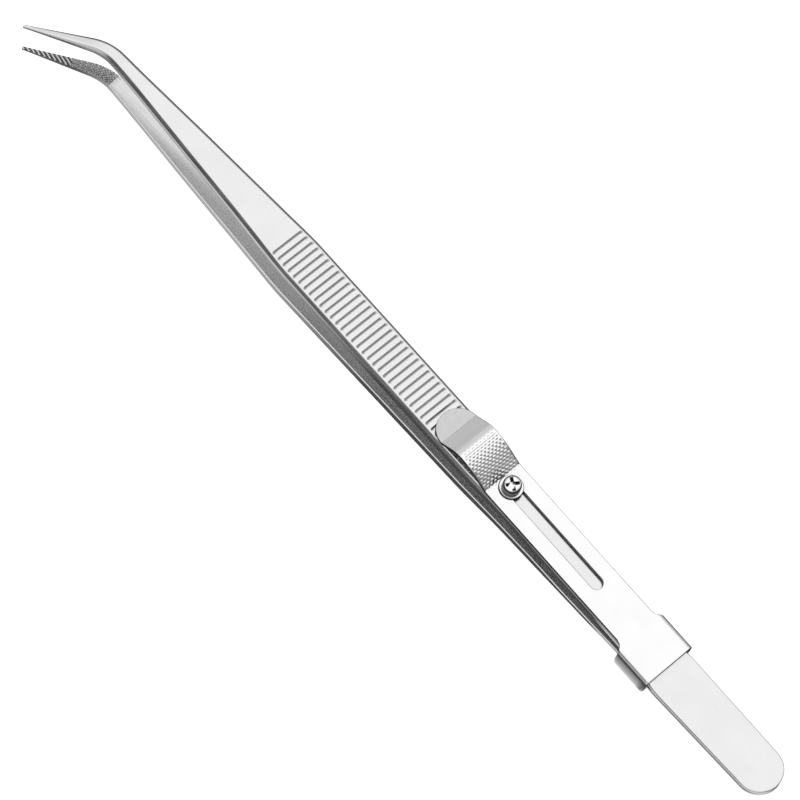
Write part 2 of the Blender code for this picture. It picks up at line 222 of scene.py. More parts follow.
# What the floor shows in reflections: (levels along X, levels across Y) of overlapping grey cards
FLOOR_CARDS = (
    (((-0.076, 0.15), (-0.070, 0.85), (-0.035, 0.85), (-0.004, 0.04)),
     ((-0.0100, 0.9), (-0.0060, 0.9), (-0.0035, 0.55), (0.0120, 0.70), (0.0190, 0.10))),
    (((0.046, 0.03), (0.048, 0.80), (0.0582, 0.80), (0.0590, 0.0)),
     ((-0.0066, 0.05), (-0.0056, 0.22), (-0.0050, 0.75), (-0.0042, 0.9), (0.0, 0.9), (0.004, 0.05))),
    (((0.0585, 0.0), (0.0592, 0.80)),
     ((-0.0056, 0.04), (-0.0050, 0.10), (-0.0045, 0.9), (0.0, 0.9), (0.004, 0.05))),
    (((-0.130, 0.5), (-0.110, 0.0), (0.110, 0.0), (0.130, 0.5)), ((-0.1, 1.0), (0.1, 1.0))),
    (((-0.2, 1.0), (0.2, 1.0)),
     ((-0.045, 0.55), (-0.020, 0.06), (0.020, 0.06), (0.032, 0.15), (0.060, 0.15), (0.085, 0.55))),
)
CARD_REACH = {"X": 0.2, "Y": 0.1}     # half lengths of the floor that the cards' levels span
FLOOR_HALF = 3.0
FLOOR_DROP = 0.00002
PAPER_GREY = 0.5
PAPER_GLOW = 0.88

# Studio dome: levels by height and along the tweezers, then the black flags: (share taken, its edges)
DOME_HEIGHT = ((0.0, 0.50), (0.30, 0.52), (0.46, 0.56), (0.64, 0.96), (1.0, 1.0))
DOME_LENGTH = ((-1.0, 1.05), (-0.64, 0.58), (-0.52, 0.70), (-0.40, 0.94), (-0.32, 1.0),
               (0.60, 1.0), (0.90, 0.80))
FLAGS = (
    (0.90, (("X", ((-0.55, 0.0), (-0.42, 1.0), (-0.12, 1.0), (-0.02, 0.0))),
            ("Y", ((-0.60, 1.0), (-0.45, 0.0))),
            ("Z", ((0.33, 1.0), (0.50, 0.0))))),
    (0.76, (("X", ((0.28, 0.0), (0.66, 1.0))),
            ("Z", ((0.36, 0.0), (0.50, 1.0))))),
)
DOME_STRENGTH = 1.06

# Camera: where it looks from, in degrees and metres
CAMERA_AZIMUTH = 34.616
CAMERA_ELEVATION = 68.198
CAMERA_ROLL = 14.766
CAMERA_DISTANCE = 0.745557
CAMERA_LENS = 214.07
CAMERA_TARGET = Vector((0.000439, -0.000747, 0.00575))


# ---------------------------------------------------------------- profiles

def between(table, run):
    """Value at a run, on straight lines between a table's points."""
    if run <= table[0][0]:
        return table[0][1]
    for (run_a, value_a), (run_b, value_b) in zip(table, table[1:]):
        if run <= run_b:
            return value_a + (value_b - value_a) * (run - run_a) / (run_b - run_a)
    return table[-1][1]


def averaged(value_at, run, reach):
    """Mean of a function over a stretch on both sides of a run, which rounds its corners off."""
    steps = (-1.0, -0.6, -0.2, 0.2, 0.6, 1.0)
    return sum(value_at(run + reach * step) for step in steps) / len(steps)


def eased(table, run, reach=SMOOTH_REACH):
    return averaged(lambda place: between(table, place), run, reach)


def smoothstep(low, high, value):
    """0 below low, 1 above high, and a smooth rise between."""
    share = min(1.0, max(0.0, (value - low) / (high - low)))
    return share * share * (3.0 - 2.0 * share)


def half_width(run):
    """Half width of an arm, or of the tail's round end."""
    if run < TAIL_RADIUS:
        return math.sqrt(max(0.0, TAIL_RADIUS ** 2 - (TAIL_RADIUS - run) ** 2))
    if run > TIP_RUN - 2.0 * SMOOTH_REACH or run < TAIL_RADIUS + 2.0 * SMOOTH_REACH:
        return between(HALF_WIDTHS, run)
    return eased(HALF_WIDTHS, run)


def outer_height(run):
    """Height of an arm's outer face, exactly straight along the grip."""
    if GRIP_START + SMOOTH_REACH < run < GRIP_END - SMOOTH_REACH:
        return between(OUTER_HEIGHTS, run)
    return eased(OUTER_HEIGHTS, run)


def inner_height(straight_run):
    """Height of an arm's inner face, never so low that the closed arms would cross."""
    closing = CLOSED_GAP + CLOSE_TANGENT * (straight_run - TAIL_RUN)
    return max(closing, eased(INNER_HEIGHTS, straight_run, INNER_SMOOTH_REACH), SEAM)


def bevel(run):
    """Width of the bevel along an arm's outer edges."""
    return min(between(BEVELS, run), BEVEL_SHARE * half_width(run))


def centreline(run):
    """Plan position (straight run, sideways) and heading of the arm's middle."""
    if run <= BEND_RUN:
        return run, 0.0, 0.0
    angle = min((run - BEND_RUN) / BEND_RADIUS, BEND_ANGLE)
    beyond = max(0.0, run - BEND_RUN - BEND_RADIUS * BEND_ANGLE)
    along = BEND_RUN + BEND_RADIUS * math.sin(angle) + beyond * math.cos(angle)
    sideways = -BEND_RADIUS * (1.0 - math.cos(angle)) - beyond * math.sin(angle)
    return along, sideways, angle


def point(run, sideways, height):
    """Point in the frame from a run, an offset from the middle line and a height."""
    return Vector((TAIL_X - run, MID_Y + sideways, MID_Z + height))


def bent_point(run, lateral, height):
    """Point beside the arm's middle line, in the arm's own bent frame."""
    along, sideways, angle = centreline(run)
    return point(along + lateral * math.sin(angle), sideways + lateral * math.cos(angle), height)


# ---------------------------------------------------------------- mesh helpers

def make_object(mesh, name, smooth_angle, *materials):
    bmesh.ops.recalc_face_normals(mesh, faces=mesh.faces)
    data = bpy.data.meshes.new(name)
    mesh.to_mesh(data)
    mesh.free()
    for material in materials:
        data.materials.append(material)
    data.shade_smooth()
    data.set_sharp_from_angle(angle=math.radians(smooth_angle))
    obj = bpy.data.objects.new(name, data)
    bpy.context.scene.collection.objects.link(obj)
    return obj


def join_rows(mesh, row_a, row_b):
    """Closed band of faces between two equal rings of vertices."""
    faces = []
    for i in range(len(row_a)):
        j = (i + 1) % len(row_a)
        faces.append(mesh.faces.new((row_a[i], row_a[j], row_b[j], row_b[i])))
    return faces


def skin_rings(mesh, rings, finish=None):
    """Closed skin through equal rings of points, capped at both ends. finish gives a face's material."""
    rows = [[mesh.verts.new(co) for co in ring] for ring in rings]
    for level, (row_a, row_b) in enumerate(zip(rows, rows[1:])):
        for i, face in enumerate(join_rows(mesh, row_a, row_b)):
            if finish is not None:
                face.material_index = finish(level, i)
    mesh.faces.new(rows[0])
    mesh.faces.new(rows[-1])


# ---------------------------------------------------------------- arms

def groove_cut(run, edge_distance):
    """Depth of the grip's cross grooves at a point of the outer face."""
    number = round((run - RIB_START) / RIB_PITCH)
    if not 0 <= number < RIB_COUNT:
        return 0.0
    away = abs(run - RIB_START - number * RIB_PITCH)
    fade = smoothstep(GROOVE_END_MARGIN, GROOVE_FULL_MARGIN, edge_distance)
    crown = LAND_CROWN * (1.0 - 2.0 * away / RIB_PITCH) ** 2
    return fade * (GROOVE_DEPTH * max(0.0, 1.0 - away / GROOVE_HALF_WIDTH) + crown)


def ridge(value):
    """Groove pattern with one sharp valley per unit and wider flat-topped ridges."""
    away = abs((value % 1.0) - 0.5) * 2.0
    return max(0.0, 1.0 - away / TEETH_OPENING)


def teeth_cut(run, lateral):
    """Depth of the diagonal gripping teeth on a tip's inner face."""
    if run < TEETH_START:
        return 0.0
    start = smoothstep(TEETH_START, TEETH_START + TEETH_RUN_IN, run)
    if run > DIAMOND_END:
        return TEETH_DEPTH * start * ridge((run - lateral) / TEETH_PITCH)
    crossed = max(ridge((run - lateral) / DIAMOND_PITCH), ridge((run + lateral) / DIAMOND_PITCH))
    return TEETH_DEPTH * DIAMOND_SHARE * start * crossed


def stepped(start, end):
    """Runs one plain section step apart, from start and short of end."""
    runs = []
    while start < end:
        runs.append(start)
        start += SECTION_STEP
    return runs


def arm_runs():
    """Runs of the arm's cross sections, close together where it is ribbed or toothed."""
    runs = [TAIL_RADIUS * (1.0 - math.cos(math.radians(angle))) for angle in range(6, 90, 7)]
    runs += stepped(TAIL_RADIUS, RIB_START - RIB_LEAD)
    for rib in range(RIB_COUNT):
        middle = RIB_START + rib * RIB_PITCH
        runs += [middle + GROOVE_HALF_WIDTH * share for share in (-1.0, -0.6, -0.25, 0.0, 0.25, 0.6, 1.0)]
        runs += [middle + RIB_PITCH * share for share in (0.32, 0.5, 0.68)]
    runs += stepped(runs[-1] + SECTION_STEP, TEETH_START - SECTION_STEP)
    steps = int((TIP_RUN - TEETH_START) / TIP_STEP)
    runs += [TEETH_START + (TIP_RUN - TEETH_START) * step / steps for step in range(steps + 1)]
    return runs


def edge_drop(distance, width):
    """How far a 45 degree bevel falls at a distance from the outline, with its inner edge rounded."""
    soft = min(BEVEL_ROUND, width * BEVEL_ROUND_SHARE)
    if distance >= width + soft:
        return 0.0
    if distance <= width - soft:
        return width - distance
    return (width + soft - distance) ** 2 / (4.0 * soft)


def outer_laterals(run):
    """Half width, and the places across the outer face at which its points stand."""
    half = half_width(run)
    cut = bevel(run)
    soft = min(BEVEL_ROUND, cut * BEVEL_ROUND_SHARE)
    room = half - cut - soft
    distances = [0.0, cut * 0.35, cut - soft, cut - soft * 0.5, cut, cut + soft * 0.5, cut + soft]
    distances += [cut + soft + min(COLUMN_STEP, room * 0.25) * step for step in (1, 2, 3)]
    last = distances[-1]
    distances.append(last + (half - last) * 0.4)
    return half, [half - d for d in distances] + [0.0] + [d - half for d in reversed(distances)]


def outline_distance(run, lateral, half):
    """Distance from the arm's outline in plan."""
    if run >= TAIL_RADIUS:
        return half - abs(lateral)
    return TAIL_RADIUS - math.hypot(TAIL_RADIUS - run, lateral)


def arm_ring(run, side):
    """Cross section of an arm: outer face, one wall, inner face, other wall."""
    half, laterals = outer_laterals(run)
    cut = bevel(run) if run > TAIL_RADIUS else BEVELS[0][1]
    outer = outer_height(run)
    ring = []
    for lateral in laterals:
        drop = edge_drop(outline_distance(run, lateral, half), cut)
        height = outer - drop - groove_cut(run, half - abs(lateral))
        ring.append(bent_point(run, lateral, side * height))
    along, _, angle = centreline(run)
    small = min(INNER_EDGE, INNER_EDGE_SHARE * half)

    def inner(lateral):
        return inner_height(along + lateral * math.sin(angle))

    def wall(sign):
        low = inner(sign * half) + small
        return [bent_point(run, sign * half, side * (low + (outer - cut - low) * 0.5)),
                bent_point(run, sign * half, side * low),
                bent_point(run, sign * (half - small * 0.3), side * (low - small * 0.7))]

    ring += wall(-1.0)
    reach = half - small
    for column in range(INNER_COLUMNS + 1):
        lateral = -reach + 2.0 * reach * column / INNER_COLUMNS
        ring.append(bent_point(run, lateral, side * (inner(lateral) + teeth_cut(run, lateral))))
    return ring + wall(1.0)[::-1]


def make_arm(name, side, body, nodes, *materials):
    """Spring arm. Its materials are for the plain faces, grooves (milled finish with painted shade), inner
    face, teeth and the tooth valleys' painted shade.
    """
    plain, grooves, inner_face, teeth, valley_shade_index = range(len(materials))
    runs = arm_runs()
    top_columns = len(outer_laterals(GRIP_START)[1]) - 1

    def finish(level, column):
        run = (runs[level] + runs[level + 1]) / 2.0
        if column < top_columns:
            half, laterals = outer_laterals(run)
            edge = half - abs(laterals[column] + laterals[column + 1]) / 2.0
            return grooves if groove_cut(run, edge) > GROOVE_DEPTH * GROOVE_SHADE_SHARE else plain
        place = (column - top_columns - WALL_COLUMNS - 0.5) / INNER_COLUMNS
        if not 0.0 < place < 1.0:
            return plain
        if run < TEETH_START:
            return inner_face
        cut = teeth_cut(run, (2.0 * place - 1.0) * half_width(run))
        dark = DARK_CUT if run > DIAMOND_END else DARK_DIAMOND_CUT
        return valley_shade_index if cut > TEETH_DEPTH * dark else teeth

    mesh = bmesh.new()
    skin_rings(mesh, [arm_ring(run, side) for run in runs], finish)
    arm = make_object(mesh, name, 34.0, *materials)
    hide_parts(*nodes)
    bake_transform(arm)
    return arm


# ---------------------------------------------------------------- lock slide

def track_point(run, sideways, above):
    """Point above the straight track on the upper arm, square to it."""
    length = math.hypot(1.0, TRACK_SLOPE)
    height = TRACK_HEIGHT + (run - TRACK_RUN) * TRACK_SLOPE
    return point(run - above * TRACK_SLOPE / length, sideways, height + above / length)


def track_frame(run, above):
    """Frame at a point above the track, with its Z axis square to the track."""
    tilt = Matrix.Rotation(math.atan(TRACK_SLOPE), 4, "Y")
    return Matrix.Translation(track_point(run, 0.0, above)) @ tilt


def hump_rise(run):
    """Rise of the sheet above the flat strip: the hump, and the lip's lean in front of it."""
    if run >= LIP_CREASE:
        return (LIP_CREASE - run) * LIP_TILT
    if run <= HUMP_REAR:
        return 0.0
    share = (LIP_CREASE - run) / (LIP_CREASE - HUMP_REAR)
    wave = HUMP_RISE * math.sin(math.pi * share ** HUMP_SKEW)
    return min(wave, (LIP_CREASE - run) * HUMP_FRONT_SLOPE)


def eased_hump(run):
    """Hump with its rear foot rounded and a crisp crease in front."""
    reach = min(HUMP_EASE, LIP_CREASE - run, HUMP_FOOT_EASE + abs(run - HUMP_REAR))
    if reach <= 0.0:
        return hump_rise(run)
    return averaged(hump_rise, run, reach)


def knurl(run, sideways, half):
    """Height of the diamond knurl on the hump's rear flank and top, clear of the washer and the edges."""
    from_screw = math.hypot(run - SCREW_RUN, sideways)
    share = smoothstep(KNURL_START, HUMP_REAR, run)
    share *= 1.0 - smoothstep(KNURL_END - KNURL_FADE, KNURL_END, run)
    share *= smoothstep(KNURL_MARGIN, KNURL_MARGIN + KNURL_EDGE_FADE, half - abs(sideways))
    share *= smoothstep(WASHER_RADIUS, WASHER_RADIUS + KNURL_EDGE_FADE, from_screw)
    first = math.sin(math.pi * (run + sideways) / KNURL_PITCH) ** 2
    second = math.sin(math.pi * (run - sideways) / KNURL_PITCH) ** 2
    return KNURL_DEPTH * share * (first * second * 3.0 - 0.6)


def slot_half(run):
    """Half width of the slot at a run."""
    if run < SLOT_REAR:
        reach = SLOT_HALF_WIDTH ** 2 - (SLOT_REAR - run) ** 2
    elif run > SCREW_RUN:
        reach = SLOT_HALF_WIDTH ** 2 - (run - SCREW_RUN) ** 2
    else:
        reach = SLOT_HALF_WIDTH ** 2
    return math.sqrt(max(0.0, reach))


def spread(start, end, count):
    """Even steps from start, short of end."""
    return [start + (end - start) * step / count for step in range(count)]


def strip_rows():
    """Runs and half widths of the sheet's cross rows."""
    straight = COLLAR_FRONT + COLLAR_FILLET
    rear_end = SLOT_REAR - SLOT_HALF_WIDTH
    front_end = SCREW_RUN + SLOT_HALF_WIDTH
    arc = [math.pi / 2.0 * step / SLOT_STEPS for step in range(SLOT_STEPS)]
    runs = spread(COLLAR_REAR, straight, FILLET_ROWS) + spread(straight, rear_end, STRIP_ROWS)
    runs += [SLOT_REAR - SLOT_HALF_WIDTH * math.cos(angle) for angle in arc]
    runs += spread(SLOT_REAR, SCREW_RUN, SLOT_ROWS)
    runs += [SCREW_RUN + SLOT_HALF_WIDTH * math.sin(angle) for angle in arc]
    runs += spread(front_end, KNURL_START, SCREW_ROWS)
    runs += spread(KNURL_START, KNURL_END, KNURL_ROWS) + spread(KNURL_END, LIP_CREASE, FLANK_ROWS)
    rows = [(run, STRIP_HALF_WIDTH) for run in runs]
    for step in range(LIP_STEPS + 1):
        angle = LIP_ARC * step / LIP_STEPS
        rows.append((LIP_CREASE + LIP_LENGTH * math.sin(angle), STRIP_HALF_WIDTH * math.cos(angle)))
    return rows


def bend_points(side, start, radius, centre):
    """Quarter bend inside a wall, downwards from a starting angle."""
    angles = [start - math.pi / 2.0 * step / BEND_STEPS for step in range(BEND_STEPS + 1)]
    return [(side - radius + radius * math.cos(a), centre + radius * math.sin(a)) for a in angles]


def tab_section():
    """Middle of the sheet round one collar tab: (sheet distance, sideways, above the track)."""
    top = SLIDE_GAP + SHEET / 2.0
    bottom = top - COLLAR_INNER_HEIGHT - SHEET
    side = COLLAR_HALF_WIDTH - SHEET / 2.0
    upper_centre = top - COLLAR_TOP_BEND
    lower_centre = bottom + COLLAR_LOW_BEND
    points = bend_points(side, math.pi / 2.0, COLLAR_TOP_BEND, upper_centre)[1:]
    high = points[-1][1]
    points += [(side, high + (lower_centre - high) * step / TAB_STEPS) for step in range(1, TAB_STEPS)]
    points += bend_points(side, 0.0, COLLAR_LOW_BEND, lower_centre)
    low = points[-1][0]
    points += [(low + (TAB_END - low) * step / TAB_STEPS, bottom) for step in range(1, TAB_STEPS + 1)]
    section = []
    distance = 0.0
    last = (STRIP_HALF_WIDTH, top)
    for sideways, above in points:
        distance += math.dist(last, (sideways, above))
        section.append((distance, sideways, above))
        last = (sideways, above)
    return section


def tab_corner(distance):
    """How far a tab's front and rear edges have drawn in towards its middle."""
    share = min(1.0, max(0.0, (distance - TAB_ROUND_START) / TAB_ROUND_LENGTH))
    return TAB_ROUND * (1.0 - math.sqrt(1.0 - share * share))


def tab_front(distance):
    """Front edge of a collar tab, with a fillet into the strip's edge and a rounded corner below."""
    if distance >= COLLAR_FILLET:
        return COLLAR_FRONT - tab_corner(distance)
    return COLLAR_FRONT + COLLAR_FILLET - math.sqrt(COLLAR_FILLET ** 2 - (COLLAR_FILLET - distance) ** 2)


def slide_middle():
    """Middle surface of the sheet as a mesh, with the slot open."""
    mesh = bmesh.new()
    middle = SLIDE_GAP + SHEET / 2.0
    grid = []
    for run, half in strip_rows():
        gap = slot_half(run)
        rise = middle + eased_hump(run)

        def sheet_vertex(sideways):
            return mesh.verts.new(track_point(run, sideways, rise + knurl(run, sideways, half)))

        places = [gap + (half - gap) * column / STRIP_COLUMNS for column in range(STRIP_COLUMNS + 1)]
        right = [sheet_vertex(place) for place in places]
        left = [] if gap > 0.0 else [right[0]]
        left += [sheet_vertex(-place) for place in places[len(left):]]
        grid.append((left, right))
    for (left_a, right_a), (left_b, right_b) in zip(grid, grid[1:]):
        for row_a, row_b in ((left_a, left_b), (right_a, right_b)):
            for i in range(STRIP_COLUMNS):
                mesh.faces.new((row_a[i], row_a[i + 1], row_b[i + 1], row_b[i]))
    for edge, sign in ((0, -1.0), (1, 1.0)):
        last = [grid[step][edge][-1] for step in range(FILLET_ROWS + 1)]
        for distance, sideways, above in tab_section():
            rear = COLLAR_REAR + tab_corner(distance)
            pitch = (tab_front(distance) - rear) / FILLET_ROWS
            line = [mesh.verts.new(track_point(rear + pitch * step, sign * sideways, above))
                    for step in range(FILLET_ROWS + 1)]
            for step in range(FILLET_ROWS):
                mesh.faces.new((last[step], last[step + 1], line[step + 1], line[step]))
            last = line
    bmesh.ops.recalc_face_normals(mesh, faces=mesh.faces)
    return mesh


def edge_directions(border):
    """Directions out of a surface, in its plane, at the vertices of its border."""
    outward = {}
    for e in border:
        along = e.verts[1].co - e.verts[0].co
        away = e.verts[0].co + along * 0.5 - e.link_faces[0].calc_center_median()
        along = along.normalized()
        away = (away - along * away.dot(along)).normalized()
        for v in e.verts:
            outward[v] = outward.get(v, Vector()) + away
    return {v: away.normalized() for v, away in outward.items()}


def thicken(mesh, thickness, edge):
    """Sheet of a given thickness on both sides of a surface. Its rounded edges get material 1."""
    mesh.normal_update()
    mesh.verts.ensure_lookup_table()
    verts = list(mesh.verts)
    faces = [list(face.verts) for face in mesh.faces]
    border = [e for e in mesh.edges if len(e.link_faces) == 1]
    outward = edge_directions(border)
    half = thickness / 2.0
    solid = bmesh.new()
    inset = {v: v.co - outward.get(v, Vector()) * edge for v in verts}
    upper, lower = ({v: solid.verts.new(inset[v] + v.normal * up) for v in verts} for up in (half, -half))
    for corners in faces:
        solid.faces.new([upper[v] for v in corners])
        solid.faces.new([lower[v] for v in reversed(corners)])
    profile = [(math.sin(math.radians(a)) * edge - edge, half - edge + math.cos(math.radians(a)) * edge)
               for a in (22, 45, 68, 90)]
    profile += [(out, -up) for out, up in reversed(profile)]
    rims = {}
    for v, away in outward.items():
        round_edge = [solid.verts.new(v.co + away * out + v.normal * up) for out, up in profile]
        rims[v] = [upper[v]] + round_edge + [lower[v]]
    for e in border:
        rim_a, rim_b = rims[e.verts[0]], rims[e.verts[1]]
        for i in range(len(rim_a) - 1):
            face = solid.faces.new((rim_a[i], rim_b[i], rim_b[i + 1], rim_a[i + 1]))
            face.material_index = 1
    mesh.free()
    return solid


def is_lip(face):
    return TAIL_X - face.calc_center_median().x > LIP_CREASE and face.material_index == 0


def make_slide(material, edge_shade_material, lip_shade_material):
    """Stamped sheet with its collar, slot, knurled hump and half-moon lip."""
    # The sheet's rounded edges get near-black painted shade.
    mesh = thicken(slide_middle(), SHEET, SHEET_EDGE)
    # The lip gets a darker, rougher copy of the sheet's steel: the darker tone is painted shade.
    for face in mesh.faces:
        if is_lip(face):
            face.material_index = 2
    slide = make_object(mesh, "stamped_lock_slide", 27.0, material, edge_shade_material, lip_shade_material)
    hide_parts("lock_slide")
    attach(slide, "lock_slide")
    return slide


# ---------------------------------------------------------------- screw and washer

def turned_row(mesh, base, radii, height):
    """Ring of vertices round a frame's Z axis, with a radius for each."""
    row = []
    for step, radius in enumerate(radii):
        angle = 2.0 * math.pi * step / len(radii)
        spot = Vector((radius * math.cos(angle), radius * math.sin(angle), height))
        row.append(mesh.verts.new(base @ spot))
    return row


def turned_rows(mesh, profile, base, steps):
    """Surface of revolution of a (radius, height) profile."""
    rows = [turned_row(mesh, base, [radius] * steps, height) for radius, height in profile]
    for row_a, row_b in zip(rows, rows[1:]):
        join_rows(mesh, row_a, row_b)
    return rows


def paint_shade_below(mesh, base, height):
    """Gives material 1, painted shade, to the faces below a height in a frame."""
    to_frame = base.inverted()
    for face in mesh.faces:
        if (to_frame @ face.calc_center_median()).z < height:
            face.material_index = 1


def head_profile():
    """Pan head from the middle of its top down to the shank."""
    profile = [(HEAD_RADIUS * HEAD_CAP, HEAD_HEIGHT)]
    for degrees in range(0, 91, 9):
        out = HEAD_FLAT + (1.0 - HEAD_FLAT) * math.sin(math.radians(degrees))
        up = HEAD_FLAT + (1.0 - HEAD_FLAT) * math.cos(math.radians(degrees))
        profile.append((HEAD_RADIUS * out, HEAD_HEIGHT * up))
    profile += [(HEAD_RADIUS * share, height) for share, height in HEAD_RIM]
    return profile + [(SHANK_RADIUS, 0.0)]


def add_thread(mesh, base, top_row, depth):
    """Threaded shank down from a ring of vertices, closed just short of a depth."""
    levels = int(depth / THREAD_PITCH * THREAD_ROWS)
    last = top_row
    for level in range(1, levels + 1):
        height = -(depth - STACK_GAP) * level / levels
        radii = []
        for step in range(SCREW_STEPS):
            wave = abs(((height / THREAD_PITCH + step / SCREW_STEPS) % 1.0) - 0.5) * 2.0
            radii.append(SHANK_RADIUS - THREAD_DEPTH * wave)
        row = turned_row(mesh, base, radii, height)
        join_rows(mesh, last, row)
        last = row
    mesh.faces.new(last)


def cut_away(target, cutter):
    """Takes a cutter out of an object for good. The cut faces keep the cutter's materials."""
    boolean = target.modifiers.new("cut", "BOOLEAN")
    boolean.operation = "DIFFERENCE"
    boolean.solver = "EXACT"
    boolean.object = cutter
    boolean.material_mode = "TRANSFER"
    bpy.context.view_layer.update()
    cut = bpy.data.meshes.new_from_object(target.evaluated_get(bpy.context.evaluated_depsgraph_get()))
    target.modifiers.clear()
    target.data = cut
    cut.shade_smooth()
    cut.set_sharp_from_angle(angle=math.radians(32))
    bpy.data.objects.remove(cutter, do_unlink=True)


def make_screw(material, recess_and_head_shade_material):
    """Pan-head screw with a cross recess and a threaded shank."""
    seat = STACK + WASHER_THICKNESS + STACK_GAP
    arm_thickness = outer_height(SCREW_RUN) - inner_height(SCREW_RUN)
    base = track_frame(SCREW_RUN, seat)
    mesh = bmesh.new()
    rows = turned_rows(mesh, head_profile(), base, SCREW_STEPS)
    # Painted shade: the head's lower faces and the recess walls get the near-black material.
    paint_shade_below(mesh, base, HEAD_HEIGHT * HEAD_SHADE_LINE)
    mesh.faces.new(rows[0])
    add_thread(mesh, base, rows[-1], seat + arm_thickness)
    screw = make_object(mesh, "cross_head_screw", 50.0, material, recess_and_head_shade_material)
    cut_away(screw, cross_cutter(base, recess_and_head_shade_material, material))
    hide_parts("slide_screw")
    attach(screw, "upper_arm")
    return screw


def cross_cutter(base, material, floor_steel):
    """Tapered cross that cuts the screw's recess: its walls get painted shade, its floor the head's bright
    steel.
    """
    mesh = bmesh.new()
    turn = Matrix.Rotation(CROSS_TURN, 4, "Z")
    rings = []
    for scale, height in ((CROSS_FLOOR, HEAD_HEIGHT - CROSS_DEPTH), (1.0, HEAD_HEIGHT + CUT_EXCESS)):
        half = CROSS_LENGTH / 2.0 * scale
        slim = CROSS_WIDTH / 2.0 * (0.6 + 0.4 * scale)
        corner = slim * CROSS_CORNER
        arm = ((half, -slim), (half, slim), (corner, slim), (slim, corner))
        outline = []
        for quarter in range(4):
            outline += arm
            arm = [(-y, x) for x, y in arm]
        rings.append([base @ turn @ Vector((x, y, height)) for x, y in outline])
    skin_rings(mesh, rings)
    mesh.faces.ensure_lookup_table()
    mesh.faces[-2].material_index = 1
    return make_object(mesh, "cross_cutter", 30.0, material, floor_steel)


def make_washer(material, edge_shade_material):
    """Flat washer with rolled edges."""
    base = track_frame(SCREW_RUN, STACK)
    edge = WASHER_EDGE
    rim = WASHER_RADIUS - WASHER_SLOPE
    profile = [(WASHER_RADIUS - edge, 0.0), (WASHER_RADIUS, edge), (WASHER_RADIUS, edge * 2.0)]
    profile += [(rim, WASHER_THICKNESS - edge), (rim - edge, WASHER_THICKNESS)]
    profile += [(HOLE_RADIUS + edge, WASHER_THICKNESS), (HOLE_RADIUS, WASHER_THICKNESS - edge)]
    profile += [(HOLE_RADIUS, edge), (HOLE_RADIUS + edge, 0.0)]
    mesh = bmesh.new()
    rows = turned_rows(mesh, profile, base, WASHER_STEPS)
    join_rows(mesh, rows[-1], rows[0])
    # Painted shade: the washer's walls and underside get the near-black material, and its top stays bright.
    paint_shade_below(mesh, base, WASHER_THICKNESS * WASHER_SHADE_LINE)
    washer = make_object(mesh, "round_washer", 40.0, material, edge_shade_material)
    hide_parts("screw_washer")
    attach(washer, "upper_arm")
    return washer


# ---------------------------------------------------------------- materials

def new_material(name):
    """Material with its nodes and links."""
    material = bpy.data.materials.new(name)
    material.use_nodes = True
    return material, material.node_tree.nodes, material.node_tree.links


def brushed_steel(name, tone, roughness, grain_depth=GRAIN, grain=LENGTHWISE_GRAIN):
    """Stainless steel with a fine lengthwise grain, faint clouding and small scratches."""
    material, nodes, links = new_material(name)
    shader = nodes["Principled BSDF"]
    shader.inputs["Metallic"].default_value = 1.0
    place = nodes.new("ShaderNodeTexCoord")
    stretch = nodes.new("ShaderNodeMapping")
    stretch.inputs["Scale"].default_value = grain
    links.new(place.outputs["Object"], stretch.inputs["Vector"])
    lines = nodes.new("ShaderNodeTexNoise")
    lines.inputs["Scale"].default_value = 1.0
    lines.inputs["Detail"].default_value = 4.0
    links.new(stretch.outputs["Vector"], lines.inputs["Vector"])
    clouds = nodes.new("ShaderNodeTexNoise")
    clouds.inputs["Scale"].default_value = 240.0
    clouds.inputs["Detail"].default_value = 3.0
    links.new(place.outputs["Object"], clouds.inputs["Vector"])

    tint = nodes.new("ShaderNodeValToRGB")
    tint.color_ramp.elements[0].position = 0.3
    tint.color_ramp.elements[0].color = (tone * 0.965, tone * 0.965, tone * 0.97, 1.0)
    tint.color_ramp.elements[1].position = 0.7
    tint.color_ramp.elements[1].color = (tone, tone, tone, 1.0)
    links.new(clouds.outputs["Fac"], tint.inputs["Fac"])
    links.new(tint.outputs["Color"], shader.inputs["Base Color"])

    rough = ranged(nodes, links, lines.outputs["Fac"], (0.3, 0.7), (roughness * 0.8, roughness * 1.25))
    links.new(rough, shader.inputs["Roughness"])

    bump = nodes.new("ShaderNodeBump")
    bump.inputs["Strength"].default_value = 0.35
    bump.inputs["Distance"].default_value = grain_depth
    links.new(lines.outputs["Fac"], bump.inputs["Height"])
    links.new(bump.outputs["Normal"], shader.inputs["Normal"])
    return material


def ranged(nodes, links, value, source, target):
    """Turns the range of a value from source (low, high) into target (low, high)."""
    node = nodes.new("ShaderNodeMapRange")
    node.inputs["From Min"].default_value, node.inputs["From Max"].default_value = source
    node.inputs["To Min"].default_value, node.inputs["To Max"].default_value = target
    links.new(value, node.inputs["Value"])
    return node.outputs["Result"]


def graded(nodes, links, value, reach, stops):
    """Grey level of a value from (value, level) stops within -reach...reach."""
    ramp = nodes.new("ShaderNodeValToRGB")
    elements = ramp.color_ramp.elements
    while len(elements) < len(stops):
        elements.new(0.5)
    for element, (place, level) in zip(elements, stops):
        element.position = 0.5 + 0.5 * place / reach
        element.color = (level, level, level, 1.0)
    links.new(ranged(nodes, links, value, (-reach, reach), (0.0, 1.0)), ramp.inputs["Fac"])
    return ramp.outputs["Color"]


def vector_node(nodes, links, operation, first, second):
    """Result of a channel by channel operation on two colours."""
    node = nodes.new("ShaderNodeVectorMath")
    node.operation = operation
    links.new(first, node.inputs[0])
    links.new(second, node.inputs[1])
    return node.outputs["Vector"]


